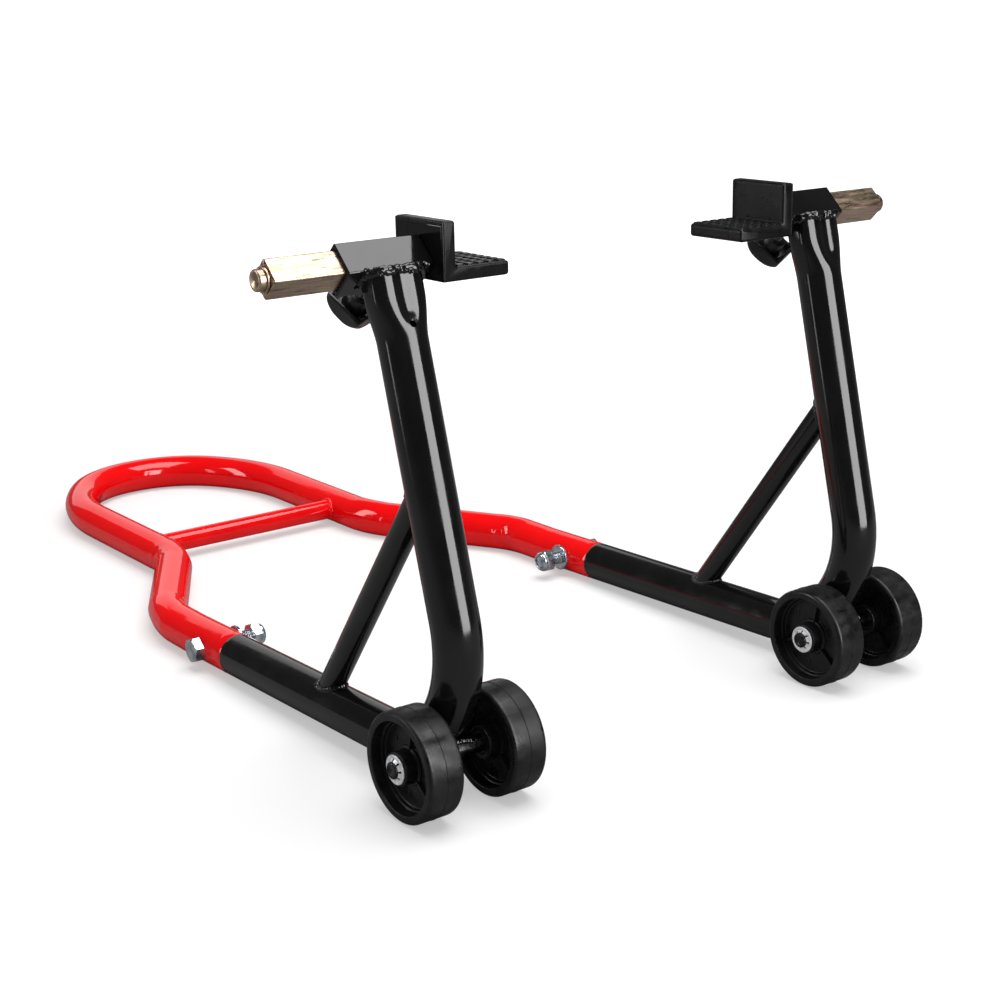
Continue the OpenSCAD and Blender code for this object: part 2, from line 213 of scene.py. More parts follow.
def prism(outer, inner, low, high, bevel, origin, axis, start):
    """A hollow bar: two outlines of equally many points, with its ends bevelled."""
    def row(outline, inset, h):
        size = np.abs(outline).max()
        flat = outline * (size - inset) / size
        return np.column_stack([flat, np.full(len(flat), h)])
    rows = [row(outer, bevel, low), row(outer, 0, low + bevel),
            row(outer, 0, high - bevel), row(outer, bevel, high),
            row(inner, -bevel, high), row(inner, 0, high - bevel),
            row(inner, 0, low + bevel), row(inner, -bevel, low)]
    return loft(placed(rows, origin, axis, start), closed=True)


def block(low, high, bevel, steps):
    """A box with rounded edges."""
    bm = bmesh.new()
    bmesh.ops.create_cube(bm, size=1)
    low, high = np.asarray(low, float), np.asarray(high, float)
    for v in bm.verts:
        v.co = Vector((low + high) / 2 + np.array(v.co) * (high - low))
    bmesh.ops.bevel(bm, geom=list(bm.edges), offset=bevel, segments=steps,
                    profile=0.5, affect="EDGES")
    flats = sorted(bm.faces, key=lambda face: -face.calc_area())[:6]
    bmesh.ops.inset_individual(bm, faces=flats, thickness=bevel * 0.2)
    bm.verts.index_update()
    verts = np.array([v.co for v in bm.verts])
    faces = [tuple(v.index for v in f.verts) for f in bm.faces]
    bm.free()
    return verts, faces


def hexagon(af, bore, height, low_chamfer, high_chamfer, origin, axis, start):
    """A hexagon with its corners turned off, and a bore through it unless that is 0."""
    a = around(72)
    flat = af / 2 / np.cos((a + TAU / 12) % (TAU / 6) - TAU / 12)
    rim = af / 2 * 0.97
    inner = max(bore, POLE_R)
    rows = [(inner, 0), (rim, 0)]
    for t in (0.35, 0.7, 1):
        r = rim + (flat - rim) * t
        rows.append((r, np.maximum(0, r - rim) * math.tan(math.radians(30)) * low_chamfer))
    for t in (1, 0.7, 0.35):
        r = rim + (flat - rim) * t
        drop = np.maximum(0, r - rim) * math.tan(math.radians(30))
        rows.append((r, height - drop * high_chamfer))
    rows += [(rim, height), (rim * 0.9, height), (inner, height)]
    rows = [level_ring(r, a, h) for r, h in rows]
    return loft(placed(rows, origin, axis, start), closed=True)


def thread(radius, pitch, length, origin, axis, start, depth=0.62):
    """A screw thread with a chamfered tip at its far end."""
    a, per_turn = around(40), 8
    rows = [level_ring(POLE_R, a, 0)]
    for h in np.arange(0, length + 1e-6, pitch / per_turn):
        wave = np.abs(((h / pitch - a / TAU) % 1) * 2 - 1)
        r = radius - depth * np.clip(wave * 1.25 - 0.1, 0, 1)
        rows.append(level_ring(np.minimum(r, radius - depth + max(0.0, length - h)), a, h))
    rows.append(level_ring(POLE_R, a, length))
    return loft(placed(rows, origin, axis, start))


def away_from(centre):
    return lambda p: p - centre


def bead(path, radius, seed, ring=False, outward=None, pitch=2.3, flat=0.8, wavy=1.0):
    """A weld bead along a path: overlapping ripples with an uneven width and height."""
    rng = random.Random(seed)
    path = np.asarray(path, float)
    if ring:
        path = np.vstack([path, path[:1]])
    run = np.concatenate([[0], np.cumsum(np.linalg.norm(np.diff(path, axis=0), axis=1))])
    count = max(24, int(run[-1] / 0.42))
    at = np.linspace(0, run[-1], count, endpoint=not ring)
    centre = np.column_stack([np.interp(at, run, path[:, k]) for k in range(3)])
    if ring:
        tangent = np.roll(centre, -1, 0) - np.roll(centre, 1, 0)
    else:
        tangent = np.gradient(centre, axis=0)
    shift = rng.uniform(0, 100)
    rows, n = [], 14
    for i, (p, t) in enumerate(zip(centre, tangent)):
        t = unit(t)
        up = UP if outward is None else unit(outward(p))
        if abs(up @ t) > 0.95:
            up = ACROSS
        side = unit(np.cross(t, up))
        up = np.cross(side, t)
        phase = (at[i] / pitch) % 1
        end = 1.0 if ring else smooth(min(at[i], run[-1] - at[i]) / radius + 0.15)
        wobble = noise.noise(Vector((at[i] * 0.16, shift, 0.0)))
        ripple = 0.2 * math.sin(math.pi * phase) ** 0.6
        size = radius * end * (0.86 + ripple + 0.3 * wavy * wobble)
        row = []
        for j in range(n):
            c, s = math.cos(j * TAU / n), math.sin(j * TAU / n)
            lump = 1 + 0.14 * wavy * noise.noise(Vector((at[i] * 0.5, 2 * c + shift, 2 * s)))
            q = p + side * c * size * lump + up * s * size * flat * lump
            row.append(q - t * (1 - abs(c)) * 0.5 * pitch * (0.5 if s > 0 else 0))
        rows.append(row)
    return loft(rows, closed=ring)


def spatter(points, seed, count, reach, low, high):
    """Small flattened drops left round a weld."""
    rng = random.Random(seed)
    found = []
    for _ in range(count):
        p = points[rng.randrange(len(points))]
        centre = np.asarray(p) + [rng.uniform(-reach, reach) for _ in range(3)]
        r = rng.uniform(low, high)
        bm = bmesh.new()
        bmesh.ops.create_icosphere(bm, subdivisions=2, radius=r)
        bm.verts.index_update()
        verts = np.array([v.co for v in bm.verts])
        verts *= [rng.uniform(0.8, 1.2) for _ in range(3)]
        found.append((verts + centre, [tuple(v.index for v in f.verts) for f in bm.faces]))
        bm.free()
    return found


def linked(name, data):
    obj = bpy.data.objects.new(name, data)
    bpy.context.scene.collection.objects.link(obj)
    return obj


def put(points, side=1):
    return (np.asarray(points, float).reshape(-1, 3) * [side, 1, 1] - [0, MID_Y, 0]) / 1000


def piece(name, parts, material, body, side=1, nodes=None, slot=None, sharp=38):
    """One named mesh piece that rides on a body. It stands for the CAD nodes given, or for the
    one of its own name. The slot argument is not used."""
    if nodes is None:
        nodes = [name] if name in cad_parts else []
    # the CAD's own materials have these names too, so Blender adds a number to this one's
    slot = slot or material.name.partition(".")[0]
    verts, faces, base = [], [], 0
    for v, f in parts:
        v = np.asarray(v, float).reshape(-1, 3)
        verts.append(v)
        faces += [tuple(i + base for i in face) for face in f]
        base += len(v)
    mesh = bpy.data.meshes.new(name)
    mesh.from_pydata(put(np.vstack(verts), side).tolist(), [], faces)
    bm = bmesh.new()
    bm.from_mesh(mesh)
    bmesh.ops.remove_doubles(bm, verts=bm.verts, dist=2e-6)
    bmesh.ops.dissolve_degenerate(bm, dist=1e-6, edges=bm.edges)
    bmesh.ops.recalc_face_normals(bm, faces=bm.faces)
    bm.to_mesh(mesh)
    bm.free()
    mesh.materials.append(material)
    mesh.shade_smooth()
    mesh.set_sharp_from_angle(angle=math.radians(sharp))
    obj = linked(name, mesh)
    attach(obj, body)
    if nodes:
        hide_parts(*nodes)


def weld(name, parts, material, side=1):
    piece(name, parts, material, "frame", side, sharp=80)


# ---- materials

class Finish:
    """A Principled material whose patterns are made of nodes in the piece's own coordinates."""

    def __init__(self, name, color, rough, metallic=0.0, specular=0.5):
        self.material = bpy.data.materials.new(name)
        self.material.use_nodes = True
        self.tree = self.material.node_tree
        self.shader = self.tree.nodes["Principled BSDF"]
        self.set("Base Color", (*color, 1))
        self.set("Roughness", rough)
        self.set("Metallic", metallic)
        self.set("Specular IOR Level", specular)
        self.coords = self.tree.nodes.new("ShaderNodeTexCoord").outputs["Object"]
        self.height = None

    def set(self, socket, value):
        self.shader.inputs[socket].default_value = value

    def link(self, output, socket):
        self.tree.links.new(output, socket)

    def stretched(self, stretch):
        if stretch == (1, 1, 1):
            return self.coords
        node = self.tree.nodes.new("ShaderNodeMapping")
        node.inputs["Scale"].default_value = stretch
        self.link(self.coords, node.inputs["Vector"])
        return node.outputs["Vector"]

    def noise(self, scale, detail=3.0, stretch=(1, 1, 1), distortion=0.0):
        node = self.tree.nodes.new("ShaderNodeTexNoise")
        node.inputs["Scale"].default_value = scale
        node.inputs["Detail"].default_value = detail
        node.inputs["Distortion"].default_value = distortion
        self.link(self.stretched(stretch), node.inputs["Vector"])
        return node.outputs["Fac"]

    def cells(self, scale, stretch=(1, 1, 1)):
        node = self.tree.nodes.new("ShaderNodeTexVoronoi")
        node.inputs["Scale"].default_value = scale
        self.link(self.stretched(stretch), node.inputs["Vector"])
        return node.outputs["Distance"]

    def ramp(self, factor, stops):
        node = self.tree.nodes.new("ShaderNodeValToRGB")
        band = node.color_ramp
        while len(band.elements) < len(stops):
            band.elements.new(0.5)
        for element, (place, color) in zip(band.elements, stops):
            element.position, element.color = place, (*color, 1)
        self.link(factor, node.inputs["Fac"])
        return node.outputs["Color"]

    def ranged(self, factor, low, high, from_low=0.3, from_high=0.7):
        node = self.tree.nodes.new("ShaderNodeMapRange")
        for socket, value in (("From Min", from_low), ("From Max", from_high),
                              ("To Min", low), ("To Max", high)):
            node.inputs[socket].default_value = value
        self.link(factor, node.inputs["Value"])
        return node.outputs["Result"]

    def mixed(self, factor, a, b):
        node = self.tree.nodes.new("ShaderNodeMix")
        node.data_type = "RGBA"
        self.link(factor, node.inputs["Factor"])
        self.link(a, node.inputs[6])
        self.link(b, node.inputs[7])
        return node.outputs[2]

    def color(self, output):
        self.link(output, self.shader.inputs["Base Color"])

    def mottle(self, factor, *stops):
        self.color(self.ramp(factor, stops))

    def rough(self, output):
        self.link(output, self.shader.inputs["Roughness"])

    def bump(self, factor, depth, strength=1.0):
        """Adds a bump depth metres high on top of the ones before it."""
        node = self.tree.nodes.new("ShaderNodeBump")
        node.inputs["Strength"].default_value = strength
        node.inputs["Distance"].default_value = depth
        self.link(factor, node.inputs["Height"])
        if self.height is not None:
            self.link(self.height, node.inputs["Normal"])
        self.height = node.outputs["Normal"]
        self.link(self.height, self.shader.inputs["Normal"])


def red_enamel():
    f = Finish("red_enamel", (0.76, 0.0015, 0.003), 0.1)
    f.mottle(f.noise(14, 2), (0.3, (0.72, 0.0012, 0.0025)), (0.7, (0.82, 0.002, 0.0035)))
    f.rough(f.ranged(f.noise(60, 3), 0.03, 0.1))
    f.bump(f.noise(220, 2), 0.00012, 0.2)
    f.bump(f.noise(26, 1), 0.0006, 0.18)
    return f.material


def black_enamel():
    f = Finish("black_enamel", (0.004, 0.004, 0.0045), 0.1)
    f.mottle(f.noise(30, 3), (0.3, (0.003, 0.003, 0.0035)), (0.72, (0.0065, 0.006, 0.006)))
    f.rough(f.ranged(f.noise(45, 4), 0.06, 0.17))
    f.bump(f.noise(240, 2), 0.00012, 0.22)
    f.bump(f.noise(30, 1), 0.0005, 0.16)
    f.bump(f.ranged(f.cells(140), 1, 0, 0.0, 0.06), 0.0001, 0.4)
    return f.material


def wheel_plastic():
    f = Finish("wheel_plastic", (0.006, 0.006, 0.0065), 0.4, specular=0.3)
    f.mottle(f.noise(55, 5), (0.35, (0.003, 0.003, 0.003)), (0.75, (0.012, 0.012, 0.0125)))
    f.rough(f.ranged(f.noise(70, 6, (1, 1.6, 1.6)), 0.22, 0.54, 0.34, 0.66))
    f.bump(f.noise(900, 3), 0.0001, 0.4)
    f.bump(f.ranged(f.cells(230), 1, 0, 0.0, 0.11), 0.0003, 0.5)
    f.bump(f.noise(300, 4, (2.5, 0.5, 0.5)), 0.00014, 0.25)
    return f.material


def black_rubber():
    f = Finish("black_rubber", (0.004, 0.004, 0.004), 0.36, specular=0.22)
    f.mottle(f.noise(70, 5), (0.35, (0.0025, 0.0025, 0.0025)), (0.75, (0.008, 0.008, 0.008)))
    f.rough(f.ranged(f.noise(90, 5), 0.22, 0.44))
    f.bump(f.noise(900, 3), 0.00012, 0.45)
    f.bump(f.noise(110, 3), 0.0003, 0.25)
    return f.material


def knob_plastic():
    f = Finish("knob_plastic", (0.008, 0.008, 0.0085), 0.3)
    f.mottle(f.noise(80, 4), (0.35, (0.006, 0.006, 0.0065)), (0.7, (0.013, 0.013, 0.014)))
    f.rough(f.ranged(f.noise(60, 4), 0.2, 0.4))
    f.bump(f.noise(1100, 2), 0.00006, 0.35)
    return f.material


def bright_zinc():
    f = Finish("bright_zinc", (0.5, 0.55, 0.6), 0.16, metallic=0.9)
    f.mottle(f.noise(130, 4), (0.3, (0.2, 0.25, 0.3)), (0.5, (0.5, 0.55, 0.6)),
             (0.75, (0.84, 0.86, 0.88)))
    f.rough(f.ranged(f.noise(260, 4), 0.06, 0.22))
    f.bump(f.noise(500, 3), 0.0001, 0.4)
    return f.material


def spring_steel():
    f = Finish("spring_steel", (0.85, 0.86, 0.87), 0.4, metallic=0.5)
    f.mottle(f.noise(300, 4), (0.3, (0.6, 0.61, 0.63)), (0.6, (0.9, 0.91, 0.92)))
    f.rough(f.ranged(f.noise(500, 3), 0.3, 0.5))
    f.bump(f.noise(1200, 3), 0.00005, 0.4)
    return f.material


def yellow_zinc():
    f = Finish("yellow_zinc", (0.5, 0.36, 0.26), 0.3, metallic=1.0)
    bands = f.ramp(f.noise(190, 5, (0.1, 1, 1), 0.3),
                   [(0.2, (0.27, 0.17, 0.12)), (0.4, (0.42, 0.29, 0.21)), (0.5, (0.5, 0.41, 0.28)),
                    (0.62, (0.48, 0.29, 0.25)), (0.8, (0.33, 0.3, 0.18))])
    streaks = f.ranged(f.noise(900, 4, (0.06, 1, 1)), 1.0, 0.0, 0.58, 0.68)
    dark = f.ramp(f.noise(40, 2), [(0.3, (0.09, 0.06, 0.035)), (0.7, (0.16, 0.11, 0.07))])
    f.color(f.mixed(streaks, dark, bands))
    f.rough(f.ranged(f.noise(300, 5, (0.2, 1, 1)), 0.2, 0.42))
    f.bump(f.noise(500, 4, (0.18, 1, 1)), 0.00012, 0.5)
    f.bump(f.noise(1100, 3), 0.00006, 0.5)
    return f.material


def dark_steel():
    f = Finish("dark_steel", (0.03, 0.03, 0.032), 0.28, metallic=1.0)
    f.mottle(f.noise(260, 4), (0.3, (0.012, 0.012, 0.013)), (0.7, (0.06, 0.06, 0.062)))
    f.rough(f.ranged(f.noise(420, 3), 0.16, 0.4))
    f.bump(f.noise(900, 3), 0.00008, 0.5)
    return f.material


def bare_steel():
    f = Finish("bare_steel", (0.42, 0.42, 0.42), 0.35, metallic=1.0)
    f.mottle(f.noise(90, 5, (1, 0.2, 1)), (0.3, (0.3, 0.3, 0.3)), (0.7, (0.5, 0.5, 0.49)))
    f.rough(f.ranged(f.noise(200, 4, (1, 0.2, 1)), 0.28, 0.48))
    f.bump(f.noise(600, 4, (1, 0.15, 1)), 0.0001, 0.5)
    return f.material


RED, BLACK = red_enamel(), black_enamel()
PLASTIC, RUBBER, KNOB = wheel_plastic(), black_rubber(), knob_plastic()
ZINC, GOLD, DARK, BARE = bright_zinc(), yellow_zinc(), dark_steel(), bare_steel()
SPRING = spring_steel()


# ---- tubes

def tube_rows(points, a_axes, b_axes, section, wall):
    """Outer and inner rows of a tube, whose section(i, angles, inset) gives offsets along
    a and b."""
    angles = around(TUBE_SIDES)
    def row(i, inset):
        a, b = section(i, angles, inset)
        return points[i] + np.outer(a, a_axes[i]) + np.outer(b, b_axes[i])
    outer = [row(i, 0.0) for i in range(len(points))]
    inner = [row(i, wall) for i in range(len(points))]
    return np.array(outer), np.array(inner)


def shell(outer, inner):
    return loft(np.concatenate([outer, inner[::-1]]), closed=True)


def handle_half():
    """Centre line of the right half, from its joint to the middle of the loop, and how hard
    each point of it is bent."""
    d = vec(0, math.cos(BASE_TILT), -math.sin(BASE_TILT))
    neck = math.atan((SIDE_X - NECK_X) / (NECK_Y - SHOULDER_Y))
    cut = NECK_BEND_R * math.tan(neck / 2)
    level = LEVEL_BEND_R * math.tan(BASE_TILT / 2)
    run = math.hypot(SIDE_X - NECK_X, NECK_Y - SHOULDER_Y)
    end_x = NECK_X - LOOP_SIDE_R * (1 - math.cos(LOOP_SIDE_ANGLE))
    end_x -= LOOP_JOIN * math.sin(LOOP_SIDE_ANGLE)
    end_r = (end_x - LOOP_JOIN / 2) / math.cos(LOOP_SIDE_ANGLE)
    p = vec(SIDE_X, JOINT_Y, JOINT_Z)
    points, bends = [p], [0.0]
    def straight(length):
        nonlocal p
        steps = max(2, round(length / 4))
        for k in range(1, steps + 1):
            points.append(p + d * length * k / steps)
            bends.append(0.0)
        p = p + d * length
    def bend(radius, angle, axis, tight):
        nonlocal p, d
        centre = p + np.cross(unit(axis), d) * radius
        steps = max(3, round(radius * angle / 2.2))
        for k in range(1, steps + 1):
            points.append(turn(p, axis, angle * k / steps, centre))
            bends.append(tight * math.sin(math.pi * k / steps))
        d, p = turn(d, axis, angle), points[-1]
    straight((LEVEL_Y - JOINT_Y) / math.cos(BASE_TILT) - level)
    bend(LEVEL_BEND_R, BASE_TILT, (1, 0, 0), 0)
    straight(SHOULDER_Y - cut - LEVEL_Y - level)
    bend(NECK_BEND_R, neck, (0, 0, 1), 1)
    straight(run - 2 * cut)
    bend(NECK_BEND_R, neck, (0, 0, -1), -1)
    straight(LOOP_Y - NECK_Y - cut)
    bend(LOOP_SIDE_R, LOOP_SIDE_ANGLE, (0, 0, 1), 0)
    straight(LOOP_JOIN)
    bend(end_r, math.pi / 2 - LOOP_SIDE_ANGLE, (0, 0, 1), 0)
    return np.array(points), np.array(bends)


def build_handle():
    half, bends = handle_half()
    points = np.vstack([half, half[::-1] * [-1, 1, 1]])
    bends = np.concatenate([bends, bends[::-1]])
    tangents = np.gradient(points, axis=0)
    tangents /= np.linalg.norm(tangents, axis=1)[:, None]
    up = np.array([unit(UP - t * t[2]) for t in tangents])
    out = np.cross(tangents, up)
    run = np.concatenate([[0], np.cumsum(np.linalg.norm(np.diff(points, axis=0), axis=1))])
    from_end = np.minimum(run, run[-1] - run)
    ease = np.array([smooth(w) for w in np.abs(bends)]) * np.sign(bends)
    def section(i, angles, inset):
        r = TUBE_R - inset
        lip = from_end[i]
        if inset == 0:     # a rolled groove, a swell and a softened lip at each end
            r -= 0.55 * math.exp(-(((lip - 9.5) / 1.3) ** 2))
            r += 0.25 * math.exp(-(((lip - 5.5) / 2.2) ** 2)) - 0.5 * smooth(1 - lip / 1.0)
        a, b = r * np.cos(angles), r * np.sin(angles)
        w = ease[i]
        if w:
            outer = np.clip(a * np.sign(w) / r, 0, 1)
            a = a - np.sign(w) * abs(w) * 1.5 * outer ** 2
            b = np.where(b > 0, b * (1 + 0.028 * abs(w)), b)
            if inset == 0:
                within = np.exp(-((np.clip(-a * np.sign(w) / r, -1, 1) - 1) / 0.4) ** 2)
                a = a + np.sign(w) * within * (1.9 * abs(w) ** 9 - 0.8 * abs(w) ** 3)
        return a, b
    outer, inner = tube_rows(points, out, up, section, TUBE_WALL)
    piece("handle", [shell(outer, inner)], RED, "frame", nodes=["handle_tube"])


def cylinder_reach(origins, direction, axis_point, axis, radius):
    """How far each origin goes along a direction to first meet a cylinder."""
    axis, direction = unit(axis), unit(direction)
    d = direction - axis * (direction @ axis)
    rel = origins - axis_point
    rel = rel - np.outer(rel @ axis, axis)
    a, b = d @ d, 2 * rel @ d
    c = (rel * rel).sum(1) - radius * radius
    root = np.sqrt(np.maximum(b * b - 4 * a * c, 0))
    return (-b - root) / (2 * a)


def coped(centre, direction, start, radius, wall, ends):
    """A straight tube whose two ends follow the cylinders they are welded to, and the rings
    of its ends."""
    x, y, z = axes(direction, start)
    ring = circle(1.0, 56)
    def row(r, end, sign):
        origins = centre + np.outer(ring[:, 0] * r, x) + np.outer(ring[:, 1] * r, y)
        reach = cylinder_reach(origins, z * sign, *end)
        return origins + np.outer(reach, z) * sign
    low, high = row(radius, ends[0], -1), row(radius, ends[1], 1)
    in_low, in_high = row(radius - wall, ends[0], -1), row(radius - wall, ends[1], 1)
    steps = np.linspace(0, 1, 40)
    outer = [low + (high - low) * t for t in steps]
    inner = [in_low + (in_high - in_low) * t for t in steps]
    return shell(np.array(outer), np.array(inner)), low, high


def build_cross_brace():
    ends = [(vec(s * NECK_X, CROSS_Y, TUBE_R), vec(0, 1, 0), TUBE_R - WELD_SINK) for s in (-1, 1)]
    part, low, high = coped(vec(0, CROSS_Y, TUBE_R), ACROSS, UP, CROSS_R, BRACE_WALL, ends)
    piece("cross_brace", [part], RED, "frame", nodes=["handle_cross_brace"])
    for key, ring, seed in (("l", low, 11), ("r", high, 12)):
        part = bead(ring, 2.1, seed, ring=True, outward=away_from(ring.mean(0)))
        drops = spatter(ring[::5], 5, 5, 1.2, 0.5, 0.9)
        weld(f"cross_brace_weld_{key}", [part, *drops], RED)


# The side tube runs forward from its joint, round the bend and up to the housing
TILT_SLOPE, LEAN_SLOPE = math.tan(BASE_TILT), math.tan(UPRIGHT_LEAN)
UPRIGHT_Y_AT = 200.0     # the height at which the upright's axis is at UPRIGHT_Y
CORNER_Y = UPRIGHT_Y + LEAN_SLOPE * (JOINT_Z + JOINT_Y * TILT_SLOPE - UPRIGHT_Y_AT)
CORNER_Y /= 1 + LEAN_SLOPE * TILT_SLOPE
CORNER_Z = JOINT_Z + (JOINT_Y - CORNER_Y) * TILT_SLOPE
BEND_ANGLE = math.pi / 2 + UPRIGHT_LEAN - BASE_TILT
BEND_CUT = BEND_R * math.tan(BEND_ANGLE / 2)
UPRIGHT_RUN = (UPRIGHT_TOP_Z - CORNER_Z) / math.cos(UPRIGHT_LEAN) - BEND_CUT
RUN_AXIS = vec(0, math.cos(BASE_TILT), -math.sin(BASE_TILT))
BASE_NORMAL = vec(0, math.sin(BASE_TILT), math.cos(BASE_TILT))
JOINT = vec(SIDE_X, JOINT_Y, JOINT_Z)
BASE_RUN = (JOINT_Y - CORNER_Y) / math.cos(BASE_TILT) - BEND_CUT
BEND_START = JOINT - RUN_AXIS * BASE_RUN
BEND_CENTRE = BEND_START + BASE_NORMAL * BEND_R


def leaned(points):
    return turn(points, RUN_AXIS, SIDE_LEAN, JOINT)


SIDE_NORMAL = turn(ACROSS, RUN_AXIS, SIDE_LEAN)
UPRIGHT_DIR = turn(vec(0, math.sin(UPRIGHT_LEAN), math.cos(UPRIGHT_LEAN)), RUN_AXIS, SIDE_LEAN)
UPRIGHT_FOOT = leaned(vec(SIDE_X, CORNER_Y, CORNER_Z))
FLAT_START, FLAT_END = 45.0, 12.0     # where the flattening starts and is complete, below the top
COPE_FROM = 9.0                       # the last stretch follows the housing
HOLE_DOWN, HOLE_R = 34.0, 2.4
BAR = vec(0, BAR_Y, BAR_Z)
CLAMP, CLAMP_OUT = vec((HOUSING_IN + HOUSING_OUT) / 2, BAR_Y, BAR_Z), unit(vec(0, 1, -1))


def side_line():
    """Centre line points, tangents, and each point's distance below the upright's end."""
    forward = -RUN_AXIS
    points = [JOINT + forward * s
              for s in np.concatenate([[0, 0.6, 1.5], np.arange(4, BASE_RUN, 4)])]
    tangents = [forward] * len(points)
    for a in np.linspace(0, BEND_ANGLE, 76):
        points.append(BEND_CENTRE + (-BASE_NORMAL * math.cos(a) + forward * math.sin(a)) * BEND_R)
        tangents.append(forward * math.cos(a) + BASE_NORMAL * math.sin(a))
    p, d = points[-1], tangents[-1]
    coarse = np.arange(3, UPRIGHT_RUN - 66, 3)
    fine = np.arange(UPRIGHT_RUN - 65, UPRIGHT_RUN - COPE_FROM + 0.01, 1.0)
    for s in np.concatenate([coarse, fine]):
        points.append(p + d * s)
        tangents.append(d)
    points, tangents = np.array(points), np.array(tangents)
    down = UPRIGHT_RUN - (points - p) @ d
    down[: len(points) - len(coarse) - len(fine)] = 1e3
    return leaned(points), turn(tangents, RUN_AXIS, SIDE_LEAN), down


def flattened(down, angles, inset):
    """Section of the side tube, pressed flat and creased in front towards its top."""
    t = float(smooth((FLAT_START - down) / (FLAT_START - FLAT_END)))
    w = TUBE_R + 3.2 * t - inset
    front, back = TUBE_R - 3.2 * t - inset, TUBE_R - 3.0 * t - inset
    c, s = np.cos(angles), np.sin(angles)
    n_front, n_back = 2 + 1.0 * t, 2 + 0.8 * t
    power = np.where(s > 0, 2 / n_front, 2 / n_back)
    a = w * np.sign(c) * np.abs(c) ** power
    b = np.where(s > 0, front, back) * np.sign(s) * np.abs(s) ** power
    crease = float(smooth((HOLE_DOWN + 4 - down) / 15))
    b = b - np.where(s > 0, 2.6 * crease * np.exp(-((a / 5.0) ** 2)), 0)
    return a, b


def housing_reach(origins, direction, most):
    """How far each origin goes along a direction to meet the square housing, at most so far."""
    half = HOUSING_W / math.sqrt(2) - 1.4
    best = np.full(len(origins), most, float)
    for h in np.linspace(most, 0, 400):
        q = origins + direction * h
        inside = np.abs(q[:, 1] - BAR_Y) + np.abs(q[:, 2] - BAR_Z) < half
        best[inside] = h
    return best


def build_side_tube(key):
    points, tangents, down = side_line()
    a_axes = np.broadcast_to(SIDE_NORMAL, points.shape)
    b_axes = np.cross(a_axes, tangents)
    def section(i, angles, inset):
        if i < 3 and inset == 0:
            r = TUBE_R - (0.7, 0.25, 0)[i]
            return r * np.cos(angles), r * np.sin(angles)
        return flattened(down[i], angles, inset)
    outer, inner = tube_rows(points, a_axes, b_axes, section, TUBE_WALL)
    top = []
    for rows in (outer, inner):
        reach = housing_reach(rows[-1], UPRIGHT_DIR, 11.5)
        top.append(np.array([rows[-1] + np.outer(reach * t, UPRIGHT_DIR)
                             for t in np.linspace(0, 1, 9)[1:]]))
    edge = top[0][-1]
    outer, inner = np.concatenate([outer, top[0]]), np.concatenate([inner, top[1]])
    verts, faces = shell(outer, inner)
    if key == "l":
        verts, faces = drilled(verts, faces, points, b_axes, down, len(outer))
    piece(f"side_tube_{key}", [(verts, faces)], BLACK, "frame", SIDES[key])
    return edge


def drilled(verts, faces, points, b_axes, down, rows):
    """Opens the drain hole in the front of the tube and gives it a wall."""
    i = int(np.argmin(np.abs(down - HOLE_DOWN)))
    out = unit(b_axes[i])
    x, y, _ = axes(out, UPRIGHT_DIR)
    verts = verts.copy()
    rel = verts - points[i]
    flat = np.column_stack([rel @ x, rel @ y])
    cut = set(np.where((rel @ out > 3) & (np.linalg.norm(flat, axis=1) < HOLE_R))[0])
    kept, edges = [], {}
    for f in faces:
        if cut.isdisjoint(f):
            kept.append(f)
            continue
        for edge in map(frozenset, zip(f, f[1:] + f[:1])):
            edges[edge] = edges.get(edge, 0) + 1
    rim = {v for edge, uses in edges.items() if uses == 1 for v in edge}
    for v in rim:
        scale = HOLE_R / np.linalg.norm(flat[v])
        verts[v] += (x * flat[v, 0] + y * flat[v, 1]) * (scale - 1)
    ring = sorted((v for v in rim if v < rows * TUBE_SIDES),
                  key=lambda v: math.atan2(flat[v, 1], flat[v, 0]))
    n, new = len(ring), len(verts)
    verts = np.vstack([verts, verts[ring] - out * TUBE_WALL * 0.98])
    for k in range(n):
        m = (k + 1) % n
        kept.append((ring[k], ring[m], new + m, new + k))
    return verts, kept


def build_brace(key):
    foot = leaned(vec(SIDE_X, *BRACE_FOOT))
    head = leaned(vec(SIDE_X, *BRACE_HEAD))
    ends = [(JOINT, RUN_AXIS, TUBE_R - WELD_SINK), (UPRIGHT_FOOT, UPRIGHT_DIR, TUBE_R - WELD_SINK)]
    part, low, high = coped((foot + head) / 2, head - foot, SIDE_NORMAL, BRACE_R, BRACE_WALL, ends)
    side = SIDES[key]
    piece(f"diagonal_brace_{key}", [part], BLACK, "frame", side)
    for place, ring, seed in (("foot", low, 21), ("head", high, 25)):
        part = bead(ring, 2.5, seed + side, ring=True, outward=away_from(ring.mean(0)))
        drops = spatter(ring[::4], seed + 7 + side, 9, 2.2, 0.5, 1.0)
        weld(f"brace_{place}_weld_{key}", [part, *drops], BLACK, side)


